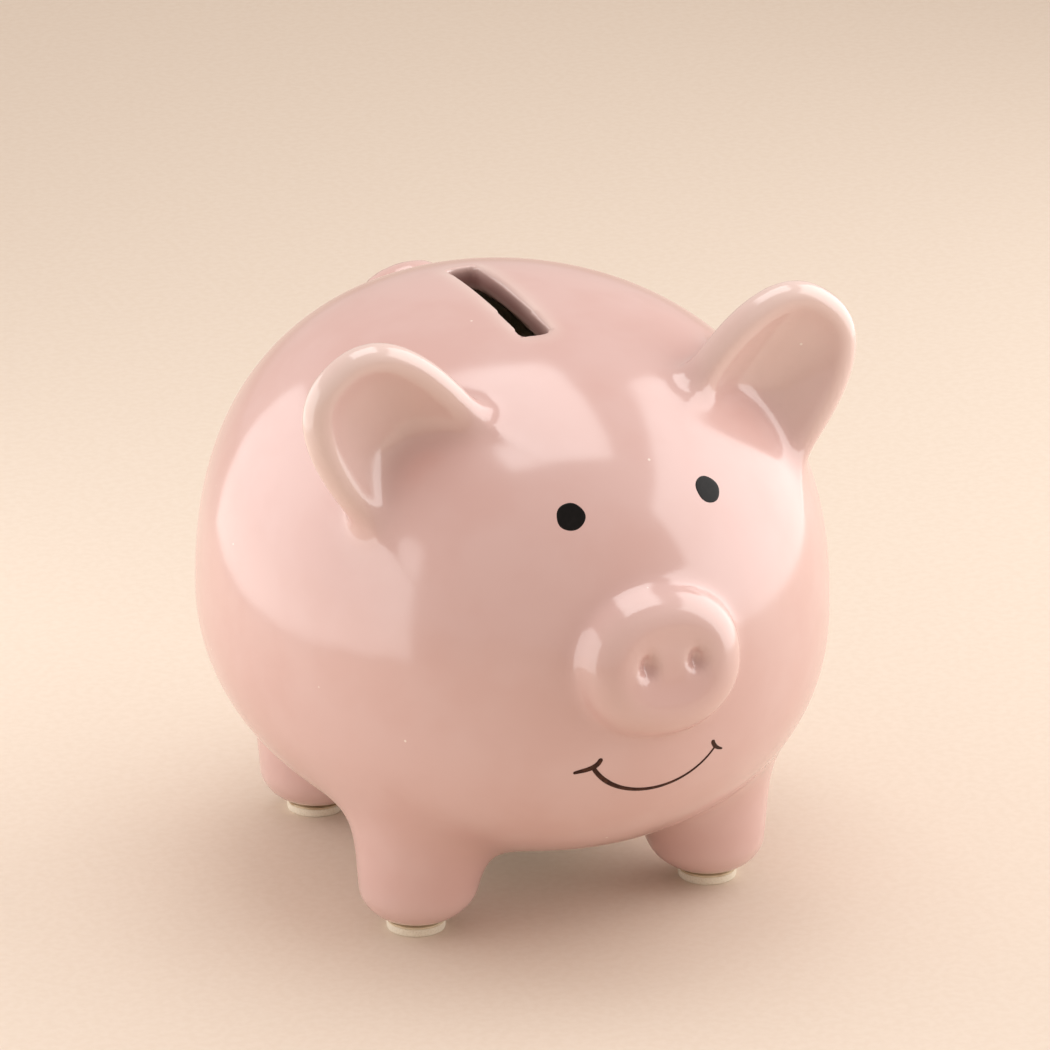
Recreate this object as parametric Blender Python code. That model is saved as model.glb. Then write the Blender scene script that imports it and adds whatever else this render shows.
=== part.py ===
"""Pig money bank of slip-cast earthenware, with a coin slot in its back and a soft plug in its belly.

Metres, +Z up. The pig looks along -Y and its left is +X. The origin is on the ground below the middle of
the whole pig. The body is a superegg: its rings seen from above are ellipses, and its profile is a
superellipse that is a little flatter below than above. Ears, snout and tail are luted on, the eyes and the
smile are fired on, and the pig stands on four stuck-on foam pads.
"""

from math import copysign, cos, pi, radians, sin

import bmesh
import bpy
from mathutils import Matrix, Vector

MM = 0.001
TOUCH_GAP = 0.3  # left between two pieces that touch, as every size here in millimetres

# Body: half sizes of the superegg, and its middle above the ground.
HALF_WIDTH = 52.5
HALF_LENGTH = 59.5
HEIGHT_ABOVE = 53.2
HEIGHT_BELOW = 39.3
POWER_ABOVE = 2.37
POWER_BELOW = 2.10
WIDER_AT_REAR = 0.033  # share by which the rump is wider and taller than the middle
NOSE_DOWN = radians(2.4)
BODY_MIDDLE = Vector((0.0, 2.9, 48.5))
WALL = 4.5

# Legs: stubs on vertical axes, as (sideways, forward) from the body's middle.
FRONT_FOOT = (26.9, -20.3)
REAR_FOOT = (23.4, 33.0)
FOOT_RADIUS = 9.3
FOOT_FLAT_RADIUS = 2.6
FOOT_ROUNDING = 5.2
LEG_TOP_RADIUS = 11.6
LEG_TOP = 30.0
LEG_WALL = 4.3

# Foot pads: a foam disc, its adhesive film, and the ceramic foot just above them.
PAD_RADIUS = 5.0
PAD_TOP = 1.35
FILM_RADIUS = 4.9
FILM_BOTTOM = 1.45
FILM_TOP = 1.65
FOOT_BOTTOM = 1.78

# Coin slot in the back, cut straight down by hand.
SLOT_WIDTH = 5.2
SLOT_SIDE = -2.1  # its middle, towards the pig's right
SLOT_FRONT = -14.5
SLOT_REAR = 16.5
SLOT_CORNER = 1.4

# Coin hole in the belly, the flat seat round it, and the plug that closes it.
HOLE_AT = 5.0  # behind the body's middle
HOLE_RADIUS = 15.0
SEAT_RADIUS = 18.6
SEAT_HEIGHT = 11.8
FLANGE_RADIUS = 18.0
FLANGE_BOTTOM = 9.9
NECK_RADIUS = 14.1
LIP_RADIUS = 14.7
LIP_BOTTOM = 15.3
PLUG_TOP = 18.6
POCKET_RADIUS = 11.5
POCKET_TOP = 15.6
PULL_BAR_WIDTH = 3.2
PULL_BAR_THICKNESS = 2.6

# Ears: elliptical dishes standing crosswise, their lower half inside the body.
EAR_MIDDLE = Vector((29.2, -29.5, 37.8))  # of the rim's plane, from the body's middle
EAR_LEAN = radians(38.0)  # from upright, outwards
EAR_HALF_WIDTH = 14.0
EAR_HEIGHT = 24.8
EAR_POWER = 2.45
EAR_DEPTH = 8.5  # of the cup, at its middle
EAR_BULGE = 15.0  # of the back, at its middle
EAR_THICKNESS = 3.6

# Snout: an oval disc on the body's front, with two dents.
SNOUT_RISE = 10.7  # of its middle above the body's middle
SNOUT_FACE = -64.0  # its face, in front of the body's middle
SNOUT_HALF_WIDTH = 14.4
SNOUT_HALF_HEIGHT = 11.9
SNOUT_ROUNDING = 3.4
SNOUT_TILT = radians(8.0)  # its face looks up a little
NOSTRIL_SPREAD = 4.3
NOSTRIL_RADII = (1.25, 2.2, 1.9)  # half width, half height and depth of one dent

# Tail: a flat curl on the rump.
TAIL_LATITUDE = 0.66  # of the curl's middle on the body, in radians
TAIL_CURL = 7.0  # radius of the curl at its root
TAIL_INNER = 3.0  # radius of the curl at its tip
TAIL_TURNS = 1.12
TAIL_RADIUS = 2.6
TAIL_TIP_RADIUS = 1.6
TAIL_LIFT = (1.8, 3.2)  # of the cord's middle above the rump, at root and tip

# Eyes and smile: thin fired marks, drawn on the front view in (sideways, up) from the body's middle.
MARK_THICKNESS = 0.35
EYE_SPREAD = 12.6
EYE_DRIFT = 0.9  # the pair was laid on this far towards the pig's left
EYE_RISE = 32.9
EYE_RADIUS = 2.45
SMILE_HALF_WIDTH = 10.6
SMILE_CORNER_RISE = -8.1
SMILE_SAG = 5.8
SMILE_WIDTH = 0.95
TICK_RADIUS = 2.2


def make_material(name, colour, roughness, metallic=0.0):
    """Returns a new Principled material."""
    material = bpy.data.materials.new(name)
    material.use_nodes = True
    shader = material.node_tree.nodes["Principled BSDF"]
    shader.inputs["Base Color"].default_value = (*colour, 1.0)
    shader.inputs["Roughness"].default_value = roughness
    shader.inputs["Metallic"].default_value = metallic
    material.diffuse_color = (*colour, 1.0)
    return material


GLAZE = make_material("pink_glaze", (0.80, 0.58, 0.54), 0.12)
EAR_GLAZE = make_material("pink_glaze_ears", (0.82, 0.60, 0.55), 0.12)
SNOUT_GLAZE = make_material("pink_glaze_snout", (0.82, 0.58, 0.52), 0.12)
TAIL_GLAZE = make_material("pink_glaze_tail", (0.80, 0.56, 0.52), 0.12)
BLACK_ENAMEL = make_material("fired_black", (0.012, 0.011, 0.010), 0.15)
BROWN_LINE = make_material("fired_brown_line", (0.045, 0.020, 0.014), 0.30)
FOAM = make_material("cream_foam", (0.78, 0.73, 0.62), 0.85)
FILM = make_material("adhesive_film", (0.86, 0.82, 0.72), 0.35)
SOFT_PLUG = make_material("soft_plug", (0.82, 0.80, 0.75), 0.45)


def add_object(name, mesh_builder, material):
    """Turns a bmesh in millimetres into an object in metres and returns it."""
    bmesh.ops.scale(mesh_builder, vec=(MM, MM, MM), verts=mesh_builder.verts)
    bmesh.ops.recalc_face_normals(mesh_builder, faces=mesh_builder.faces)
    mesh = bpy.data.meshes.new(name)
    mesh_builder.to_mesh(mesh)
    mesh_builder.free()
    mesh.shade_smooth()
    mesh.set_sharp_from_angle(angle=radians(40))
    obj = bpy.data.objects.new(name, mesh)
    bpy.context.collection.objects.link(obj)
    if material is not None:
        mesh.materials.append(material)
    return obj


def add_cutter(name, mesh_builder):
    """Returns an object that only shapes others and is no part of the pig."""
    cutter = add_object(name, mesh_builder, None)
    cutter.hide_render = True
    cutter.display_type = "WIRE"
    return cutter


def combine(obj, other, operation):
    """Joins the other object to this one, or cuts it away, with an exact Boolean."""
    modifier = obj.modifiers.new(f"{operation.lower()}_{other.name}", "BOOLEAN")
    modifier.operation = operation
    modifier.solver = "EXACT"
    modifier.object = other


def close_grid(rings):
    """Skins rings of equally many points and closes the first and the last one with one face.

    A ring of one point is a pole.
    """
    builder = bmesh.new()
    made = [[builder.verts.new(point) for point in ring] for ring in rings]
    for low, high in zip(made, made[1:]):
        count = max(len(low), len(high))
        for i in range(count):
            j = (i + 1) % count
            corners = [low[i % len(low)], low[j % len(low)], high[j % len(high)], high[i % len(high)]]
            builder.faces.new(list(dict.fromkeys(corners)))
    for ring in (made[0], made[-1]):
        if len(ring) > 2:
            builder.faces.new(ring)
    return builder


def superegg(turn, rise, grow):
    """Point of the body in its own frame, at a heading and a latitude, moved out by grow.

    The heading turns about the upright axis. With c the cosine and s the sine of the latitude, the ring's
    share of its full size is c to the power 2/p, and the height's share is s to the power 2/p.
    """
    power = POWER_ABOVE if rise >= 0 else POWER_BELOW
    height = HEIGHT_ABOVE if rise >= 0 else HEIGHT_BELOW
    ring = abs(cos(rise)) ** (2 / power)
    lift = copysign(abs(sin(rise)) ** (2 / power), rise)
    x = HALF_WIDTH * ring * cos(turn)
    y = HALF_LENGTH * ring * sin(turn)
    swell = 1 + WIDER_AT_REAR * y / HALF_LENGTH
    spread = max(ring, 1e-6) ** (power - 2)
    normal = Vector((spread * x / HALF_WIDTH**2, spread * y / HALF_LENGTH**2, 0.0))
    normal.z = copysign(abs(lift) ** (power - 1), lift) / height
    return Vector((x * swell, y, height * lift * swell)) + grow * normal.normalized()


def to_world(point):
    """Tips a point of the body's frame nose down and lifts it to the body's place."""
    return Matrix.Rotation(NOSE_DOWN, 3, "X") @ point + BODY_MIDDLE


def body_solid(grow, around, rows):
    """Returns the body's outer form, moved out by grow, as a bmesh of rings from belly to back."""
    rings = []
    for row in range(rows + 1):
        rise = -pi / 2 + pi * row / rows
        count = 1 if row in (0, rows) else around
        rings.append([to_world(superegg(2 * pi * i / around, rise, grow)) for i in range(count)])
    return close_grid(rings)


def skin_point(side, up, grow):
    """Point of the body's front at a place of the front view, moved out by grow, with its normal.

    The heading and the latitude are found by Newton steps on the two front-view coordinates.
    """
    turn, rise = -pi / 2, 0.1
    step = 1e-4
    for _ in range(20):
        here = to_world(superegg(turn, rise, 0.0)) - BODY_MIDDLE
        by_turn = (to_world(superegg(turn + step, rise, 0.0)) - BODY_MIDDLE - here) / step
        by_rise = (to_world(superegg(turn, rise + step, 0.0)) - BODY_MIDDLE - here) / step
        miss = (side - here.x, up - here.z)
        area = by_turn.x * by_rise.z - by_turn.z * by_rise.x
        turn += (miss[0] * by_rise.z - miss[1] * by_rise.x) / area
        rise += (miss[1] * by_turn.x - miss[0] * by_turn.z) / area
    foot = to_world(superegg(turn, rise, 0.0))
    normal = (to_world(superegg(turn, rise, 1.0)) - foot).normalized()
    return foot + grow * normal, normal


def turned(profile, around, place=None, power=2.0, half_sizes=(1.0, 1.0)):
    """Turns a profile of (radius, height) points about the local Z axis.

    Seen along the axis each ring is a superellipse of the given power and half sizes. The profile runs from
    one pole on the axis to the other.
    """
    rings = []
    for radius, height in profile:
        if radius == 0:
            rings.append([Vector((0.0, 0.0, height))])
            continue
        ring = []
        for i in range(around):
            angle = 2 * pi * i / around
            x = copysign(abs(cos(angle)) ** (2 / power), cos(angle))
            y = copysign(abs(sin(angle)) ** (2 / power), sin(angle))
            ring.append(Vector((radius * half_sizes[0] * x, radius * half_sizes[1] * y, height)))
        rings.append(ring)
    builder = close_grid(rings)
    if place is not None:
        bmesh.ops.transform(builder, matrix=place, verts=builder.verts)
    return builder


def feet():
    """Yields the name and the ground place of each foot."""
    for end, (side, forward) in (("front", FRONT_FOOT), ("rear", REAR_FOOT)):
        for hand, sign in (("left", 1), ("right", -1)):
            yield f"{end}_{hand}", Vector((sign * side, BODY_MIDDLE.y + forward, 0.0))


def leg_profile():
    """Profile of a leg: a flat foot, a rounded edge, then a slow widening into the body."""
    profile = [(0, FOOT_BOTTOM), (FOOT_FLAT_RADIUS, FOOT_BOTTOM)]
    for i in range(1, 5):
        angle = pi / 2 * i / 4
        radius = FOOT_FLAT_RADIUS + (FOOT_RADIUS - FOOT_FLAT_RADIUS) * sin(angle)
        profile.append((radius, FOOT_BOTTOM + FOOT_ROUNDING * (1 - cos(angle))))
    middle = (FOOT_BOTTOM + FOOT_ROUNDING + LEG_TOP) / 2
    profile.append(((FOOT_RADIUS + LEG_TOP_RADIUS) / 2, middle))
    profile.append((LEG_TOP_RADIUS, LEG_TOP))
    profile.append((0, LEG_TOP))
    return profile


def leg_hollow_profile():
    """Profile of the hollow that the drained slip leaves in a leg, open into the body."""
    top = LEG_TOP_RADIUS - LEG_WALL
    foot = FOOT_RADIUS - LEG_WALL
    floor = FOOT_BOTTOM + LEG_WALL
    return [(0, floor), (0.6 * foot, floor + 0.6), (foot, floor + 2.6), (top, LEG_TOP - 2), (0, LEG_TOP - 2)]


def rounded_bar(width, front, rear, bottom, top, corner, side=0.0, steps=4):
    """Returns an upright bar whose plan is a rectangle with round corners, its middle at side."""
    outline = []
    for cx, cy, start in (
        (width / 2 - corner, rear - corner, 0.0),
        (-width / 2 + corner, rear - corner, pi / 2),
        (-width / 2 + corner, front + corner, pi),
        (width / 2 - corner, front + corner, 3 * pi / 2),
    ):
        for i in range(steps + 1):
            angle = start + pi / 2 * i / steps
            outline.append((side + cx + corner * cos(angle), cy + corner * sin(angle)))
    return close_grid([[Vector((x, y, z)) for x, y in outline] for z in (bottom, top)])


def make_body_shell():
    """Makes the hollow body with its four legs, its coin slot and its coin hole."""
    body = add_object("body_shell", body_solid(0.0, 40, 22), GLAZE)
    for name, place in feet():
        leg = add_cutter(f"leg_{name}", turned(leg_profile(), 24, Matrix.Translation(place)))
        combine(body, leg, "UNION")
    combine(body, add_cutter("cavity", body_solid(-WALL, 32, 16)), "DIFFERENCE")
    for name, place in feet():
        hollow = turned(leg_hollow_profile(), 16, Matrix.Translation(place))
        combine(body, add_cutter(f"leg_hollow_{name}", hollow), "DIFFERENCE")
    middle = BODY_MIDDLE
    slot = rounded_bar(
        SLOT_WIDTH, middle.y + SLOT_FRONT, middle.y + SLOT_REAR, middle.z + 30, middle.z + 70, SLOT_CORNER,
        SLOT_SIDE,
    )
    combine(body, add_cutter("slot_cutter", slot), "DIFFERENCE")
    hole_place = Matrix.Translation((0, middle.y + HOLE_AT, 0))
    hole = [(0, 2), (SEAT_RADIUS, 2), (SEAT_RADIUS, SEAT_HEIGHT), (HOLE_RADIUS, SEAT_HEIGHT)]
    hole += [(HOLE_RADIUS, 25), (0, 25)]
    combine(body, add_cutter("hole_cutter", turned(hole, 36, hole_place)), "DIFFERENCE")
    return body


def ear_profile(steps):
    """Profile of an ear's dish, from the cup's middle over the round rim to the middle of the back.

    Cup and back both sink behind the rim's plane by their depth times one minus the square of the radius.
    """
    half = EAR_THICKNESS / 2
    rim = 1 - half / EAR_HALF_WIDTH
    cup = [(rim * i / steps, EAR_DEPTH * (1 - (i / steps) ** 2) - half) for i in range(steps + 1)]
    edge = [(rim + (1 - rim) * sin(a), -half * cos(a)) for a in (pi / 4, pi / 2, 3 * pi / 4)]
    back = [(rim * i / steps, EAR_BULGE * (1 - (i / steps) ** 2) + half) for i in range(steps, -1, -1)]
    return cup + edge + back


def make_ear(name, hand, body_cutter):
    """Makes one ear: a dish opening forwards, cut away where the body is."""
    dish = turned(ear_profile(6), 32, None, EAR_POWER, (EAR_HALF_WIDTH, EAR_HEIGHT))
    # The dish's axis is +Z before this, and its height is along +Y.
    stand = Matrix.Rotation(pi / 2, 4, "X")
    flip = Matrix.Scale(-1, 4, (0, 1, 0))
    lean = Matrix.Rotation(hand * EAR_LEAN, 4, "Y")
    middle = Vector((hand * EAR_MIDDLE.x, EAR_MIDDLE.y, EAR_MIDDLE.z)) + BODY_MIDDLE
    place = Matrix.Translation(middle) @ lean @ flip @ stand
    bmesh.ops.transform(dish, matrix=place, verts=dish.verts)
    ear = add_object(name, dish, EAR_GLAZE)
    combine(ear, body_cutter, "DIFFERENCE")
    return ear


def make_snout(body_cutter):
    """Makes the snout: an oval disc with a rounded rim, a slightly dished face and two dents."""
    across = SNOUT_HALF_WIDTH
    rounding = SNOUT_ROUNDING
    profile = [(0, -0.4), (0.45, -0.3)]
    for i in range(5):
        angle = pi / 2 * i / 4
        profile.append((1 - rounding / across * (1 - sin(angle)), -rounding * (1 - cos(angle))))
    profile += [(1.0, -16.0), (0, -16.0)]
    tip = Matrix.Rotation(pi / 2 - SNOUT_TILT, 4, "X")
    middle = BODY_MIDDLE + Vector((0, SNOUT_FACE, SNOUT_RISE))
    place = Matrix.Translation(middle) @ tip
    disc = turned(profile, 36, place, 2.15, (SNOUT_HALF_WIDTH, SNOUT_HALF_HEIGHT))
    snout = add_object("snout", disc, SNOUT_GLAZE)
    half_width, half_height, depth = NOSTRIL_RADII
    for hand, sign in (("left", 1), ("right", -1)):
        dent = bmesh.new()
        bmesh.ops.create_uvsphere(dent, u_segments=12, v_segments=8, radius=1.0)
        shape = Matrix.Diagonal((half_width, half_height, depth, 1.0))
        spot = Matrix.Translation((sign * NOSTRIL_SPREAD, 0.0, -0.2))
        bmesh.ops.transform(dent, matrix=place @ spot @ shape, verts=dent.verts)
        combine(snout, add_cutter(f"nostril_{hand}", dent), "DIFFERENCE")
    combine(snout, body_cutter, "DIFFERENCE")
    return snout


def make_tail(body_cutter):
    """Makes the tail: a round cord in a flat spiral on the rump, thinner and higher towards its tip.

    The spiral's radius, the cord's radius and its lift change evenly along the way, and both ends round off
    like a quarter circle.
    """
    seat = to_world(superegg(pi / 2, TAIL_LATITUDE, 0.0))
    out = (to_world(superegg(pi / 2, TAIL_LATITUDE, 1.0)) - seat).normalized()
    across = Vector((1.0, 0.0, 0.0))
    upward = across.cross(out)
    if upward.z < 0:
        upward.negate()
    steps = 40
    around = 12
    end_steps = 3
    rings = []
    for i in range(steps + 1):
        share = i / steps
        angle = -pi / 2 - 2 * pi * TAIL_TURNS * share
        radial = cos(angle) * across + sin(angle) * upward
        curl = TAIL_CURL + (TAIL_INNER - TAIL_CURL) * share
        lift = TAIL_LIFT[0] + (TAIL_LIFT[1] - TAIL_LIFT[0]) * share
        middle = seat + curl * radial + lift * out
        end = min(1.0, i / end_steps, (steps - i) / end_steps)
        radius = (TAIL_RADIUS + (TAIL_TIP_RADIUS - TAIL_RADIUS) * share) * (2 * end - end**2) ** 0.5
        turns = [2 * pi * k / around for k in range(around if end > 0 else 1)]
        rings.append([middle + radius * (cos(turn) * radial + sin(turn) * out) for turn in turns])
    tail = add_object("tail", close_grid(rings), TAIL_GLAZE)
    combine(tail, body_cutter, "DIFFERENCE")
    return tail


def make_eye(name, hand):
    """Makes one eye: a thin round spot that follows the body's surface."""
    middle, normal = skin_point(hand * EYE_SPREAD + EYE_DRIFT, EYE_RISE, 0.0)
    right = Vector((0, 0, 1)).cross(normal).normalized()
    above = normal.cross(right)
    around = 20
    rings = []
    for grow, shares in ((TOUCH_GAP, (0.0, 0.6, 1.0)), (TOUCH_GAP + MARK_THICKNESS, (0.9, 0.5, 0.0))):
        for share in shares:
            ring = []
            for i in range(around if share else 1):
                angle = 2 * pi * i / around
                spot = middle + EYE_RADIUS * share * (cos(angle) * right + sin(angle) * above) - BODY_MIDDLE
                ring.append(skin_point(spot.x, spot.z, grow)[0])
            rings.append(ring)
    return add_object(name, close_grid(rings), BLACK_ENAMEL)


def ribbon(path, widths):
    """Returns a thin closed ribbon along front-view points of the body's surface."""
    rings = []
    for i, (side, up) in enumerate(path):
        before = path[max(i - 1, 0)]
        after = path[min(i + 1, len(path) - 1)]
        run = Vector((after[0] - before[0], after[1] - before[1])).normalized()
        half = widths[i] / 2
        ring = []
        for across, grow in ((-1, 0.0), (1, 0.0), (1, MARK_THICKNESS), (-1, MARK_THICKNESS)):
            spot = (side - run.y * half * across, up + run.x * half * across)
            ring.append(skin_point(*spot, TOUCH_GAP + grow)[0])
        rings.append(ring)
    return close_grid(rings)


def make_smile():
    """Makes the smile: a sagging brush line with a short curved tick across each end."""
    steps = 18
    path, widths = [], []
    for i in range(steps + 1):
        along = -1 + 2 * i / steps
        path.append((SMILE_HALF_WIDTH * along, SMILE_CORNER_RISE - SMILE_SAG * (1 - along**2)))
        widths.append(SMILE_WIDTH * (0.75 + 0.25 * (1 - along**2)))
    smile = add_object("smile", ribbon(path, widths), BROWN_LINE)
    for hand, sign in (("left", 1), ("right", -1)):
        tick, tick_widths = [], []
        for i in range(9):
            angle = radians(172 + 98 * i / 8)
            side = SMILE_HALF_WIDTH + 1.6 + TICK_RADIUS * cos(angle)
            up = SMILE_CORNER_RISE + 1.5 + TICK_RADIUS * sin(angle)
            tick.append((sign * side, up))
            tick_widths.append(SMILE_WIDTH * (0.45 + 0.45 * sin(pi * i / 8)))
        combine(smile, add_cutter(f"tick_{hand}", ribbon(tick, tick_widths)), "UNION")
    return smile


def make_pads():
    """Makes the foam pad and the adhesive film under each foot."""
    for name, place in feet():
        at = Matrix.Translation(place)
        edge = 0.25
        pad = [(0, 0), (PAD_RADIUS - edge, 0), (PAD_RADIUS, edge), (PAD_RADIUS, PAD_TOP - edge)]
        pad += [(PAD_RADIUS - edge, PAD_TOP), (0, PAD_TOP)]
        add_object(f"foot_pad_{name}", turned(pad, 24, at), FOAM)
        film = [(0, FILM_BOTTOM), (FILM_RADIUS, FILM_BOTTOM), (FILM_RADIUS, FILM_TOP), (0, FILM_TOP)]
        add_object(f"pad_film_{name}", turned(film, 24, at), FILM)


def make_stopper():
    """Makes the soft plug: a flange, a neck, a lip above the wall, and a pocket with a pull bar."""
    edge = 0.5
    profile = [
        (0, POCKET_TOP),
        (POCKET_RADIUS - edge, POCKET_TOP),
        (POCKET_RADIUS + edge, FLANGE_BOTTOM),
        (FLANGE_RADIUS - edge, FLANGE_BOTTOM),
        (FLANGE_RADIUS, FLANGE_BOTTOM + edge),
        (FLANGE_RADIUS, SEAT_HEIGHT - TOUCH_GAP - edge),
        (FLANGE_RADIUS - edge, SEAT_HEIGHT - TOUCH_GAP),
        (NECK_RADIUS, SEAT_HEIGHT - TOUCH_GAP),
        (NECK_RADIUS, LIP_BOTTOM),
        (LIP_RADIUS, LIP_BOTTOM + edge),
        (LIP_RADIUS, LIP_BOTTOM + 3 * edge),
        (LIP_RADIUS - 3 * edge, PLUG_TOP),
        (0, PLUG_TOP),
    ]
    axis = Vector((0, BODY_MIDDLE.y + HOLE_AT, 0)) * MM
    pivot = bpy.data.objects.new("stopper_axis", None)
    pivot.location = axis
    bpy.context.collection.objects.link(pivot)
    plug = add_object("stopper", turned(profile, 36), SOFT_PLUG)
    plug.parent = pivot
    reach = POCKET_RADIUS + 1.5
    bar = rounded_bar(
        2 * reach, -PULL_BAR_WIDTH / 2, PULL_BAR_WIDTH / 2, FLANGE_BOTTOM + edge / 2,
        FLANGE_BOTTOM + edge / 2 + PULL_BAR_THICKNESS, 1.0, steps=2,
    )
    bar_cutter = add_cutter("pull_bar", bar)
    bar_cutter.parent = pivot
    combine(plug, bar_cutter, "UNION")
    return plug


def main():
    """Builds the whole bank."""
    for obj in list(bpy.data.objects):
        bpy.data.objects.remove(obj, do_unlink=True)
    make_body_shell()
    body_cutter = add_cutter("body_with_gap", body_solid(TOUCH_GAP, 40, 22))
    make_ear("ear_left", 1, body_cutter)
    make_ear("ear_right", -1, body_cutter)
    make_snout(body_cutter)
    make_tail(body_cutter)
    make_eye("eye_left", 1)
    make_eye("eye_right", -1)
    make_smile()
    make_pads()
    make_stopper()


main()
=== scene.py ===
"""Pig money bank in pink-glazed slip-cast earthenware: its finished surfaces, floor, light and camera.

The pig looks along -Y, its left is +X, and +Z is up. Every size in this file is in millimetres until a mesh
is written in metres. The glazed body is one skin: body, legs, ears, snout and tail are forms that flow into
each other, each given as a signed distance, and the skin is the level at which their blend is zero.
"""

import logging
from collections.abc import Callable
from dataclasses import dataclass, field
from enum import Enum

import bpy
import numpy as np
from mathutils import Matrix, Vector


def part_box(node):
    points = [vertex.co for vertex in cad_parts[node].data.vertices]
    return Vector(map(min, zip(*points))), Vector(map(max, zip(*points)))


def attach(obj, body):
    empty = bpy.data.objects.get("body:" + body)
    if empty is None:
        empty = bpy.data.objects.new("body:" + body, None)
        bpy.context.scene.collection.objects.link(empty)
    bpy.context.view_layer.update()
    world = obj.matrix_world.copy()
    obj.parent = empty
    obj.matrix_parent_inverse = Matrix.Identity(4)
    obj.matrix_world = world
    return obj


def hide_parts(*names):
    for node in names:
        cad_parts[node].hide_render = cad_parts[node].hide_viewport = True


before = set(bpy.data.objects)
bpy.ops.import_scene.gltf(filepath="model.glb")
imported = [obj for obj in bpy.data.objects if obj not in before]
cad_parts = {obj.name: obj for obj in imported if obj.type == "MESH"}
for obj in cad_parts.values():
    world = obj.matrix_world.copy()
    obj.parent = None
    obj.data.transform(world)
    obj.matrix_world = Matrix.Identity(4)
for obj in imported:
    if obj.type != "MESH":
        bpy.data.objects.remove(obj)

LOG = logging.getLogger("pig_bank")
MM = 0.001
FAR = 60.0  # distance given to points that are nowhere near a small form
Points = np.ndarray
Distance = Callable[[Points], np.ndarray]
EASED = {"interpolation_type": "SMOOTHSTEP"}
RGBA = {"data_type": "RGBA"}


class Rides(Enum):
    """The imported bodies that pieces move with."""

    BANK = "bank"
    PLUG = "plug"


# ---------------------------------------------------------------- rules for shapes


def smooth_union(a: np.ndarray, b: np.ndarray, width: float) -> np.ndarray:
    """Joins two signed distances with a fillet.

    Where the two differ by less than the width, the smaller is lowered by the cube of their closeness.

    Args:
        a: Signed distances to the first form.
        b: Signed distances to the second form.
        width: How far the fillet reaches.

    Returns:
        Signed distances to the joined form.
    """
    close = np.maximum(width - np.abs(a - b), 0.0) / width
    return np.minimum(a, b) - close**3 * width / 6


def smooth_overlap(a: np.ndarray, b: np.ndarray, width: float) -> np.ndarray:
    """Keeps what two forms share and rounds its edge: the smooth union of their outsides, turned about.

    Args:
        a: Signed distances to the first form.
        b: Signed distances to the second form. Taken with a minus sign, it is cut away instead.
        width: How far the rounding reaches.

    Returns:
        Signed distances to what is left.
    """
    return -smooth_union(-a, -b, width)


def rounded_corner(a: np.ndarray, b: np.ndarray, radius: float) -> np.ndarray:
    """Meets two faces in a round edge: the length of the two overshoots past the edge's own centre line."""
    over_a, over_b = a + radius, b + radius
    outside = np.hypot(np.maximum(over_a, 0), np.maximum(over_b, 0))
    return outside + np.minimum(np.maximum(over_a, over_b), 0) - radius


def smooth_step(low: float, high: float, value: np.ndarray) -> np.ndarray:
    """Rises from 0 at low to 1 at high, level at both ends."""
    share = np.clip((value - low) / (high - low), 0, 1)
    return share**2 * (3 - 2 * share)


def superellipse(across: np.ndarray, along: np.ndarray, power: float) -> tuple[np.ndarray, np.ndarray]:
    """Gauge of a superellipse of half sizes 1 and the gauge's two slopes.

    The gauge is the power-th root of the two coordinates' powers added up. It is 1 on the outline.

    Args:
        across: First coordinate in half sizes.
        along: Second coordinate in half sizes.
        power: The superellipse's power, 2 for an ellipse.

    Returns:
        The gauge, and its slopes against the two coordinates as one array with them first.
    """
    u, v = np.abs(across) + 1e-9, np.abs(along) + 1e-9
    gauge = (u**power + v**power) ** (1 / power)
    return gauge, np.stack([(u / gauge) ** (power - 1), (v / gauge) ** (power - 1)])


# ---------------------------------------------------------------- the forms of the pig


@dataclass(frozen=True)
class BodyForm:
    """The body: a superegg, flatter below than above, a little wider at the rump and tipped nose down."""

    middle: tuple[float, float, float] = (0.0, 2.9, 48.5)
    half_width: float = 52.5
    half_length: float = 59.5
    height_above: float = 53.2
    height_below: float = 39.3
    power_above: float = 2.37
    power_below: float = 2.10
    wider_at_rear: float = 0.033
    nose_down: float = np.radians(2.4)
    softening: float = 0.08

    def rise(self, share: np.ndarray, power: np.ndarray) -> np.ndarray:
        """Power of a share of the full size, softened near zero so that the curvature has no notch there."""
        soft = self.softening
        full = (1 + soft**2) ** (power / 2) - soft**power
        return ((share**2 + soft**2) ** (power / 2) - soft**power) / full

    def distance(self, points: Points) -> np.ndarray:
        """Signed distance to the body.

        The gauge is the root of the ring's share and the height's share, each to the power. It is 1 on the
        surface, and the distance is the gauge less 1 over the gauge's slope.
        """
        x, y, z = (points[:, i] - self.middle[i] for i in range(3))
        tip, lean = np.cos(self.nose_down), np.sin(self.nose_down)
        y, z = tip * y + lean * z, tip * z - lean * y
        swell = 1 + self.wider_at_rear * y / self.half_length
        x, z = x / swell, z / swell
        height = np.where(z > 0, self.height_above, self.height_below)
        power = np.where(z > 0, self.power_above, self.power_below)
        ring = np.hypot(x / self.half_width, y / self.half_length) + 1e-6
        level = np.abs(z / height) + 1e-6
        gauge = (self.rise(ring, power) + self.rise(level, power)) ** (1 / power) + 1e-6
        by_ring = (ring / gauge) ** (power - 1) / ring
        flat = np.hypot(x / self.half_width**2, y / self.half_length**2)
        slope = np.hypot(by_ring * flat, (level / gauge) ** (power - 1) / height)
        return (gauge - 1) / slope


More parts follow.
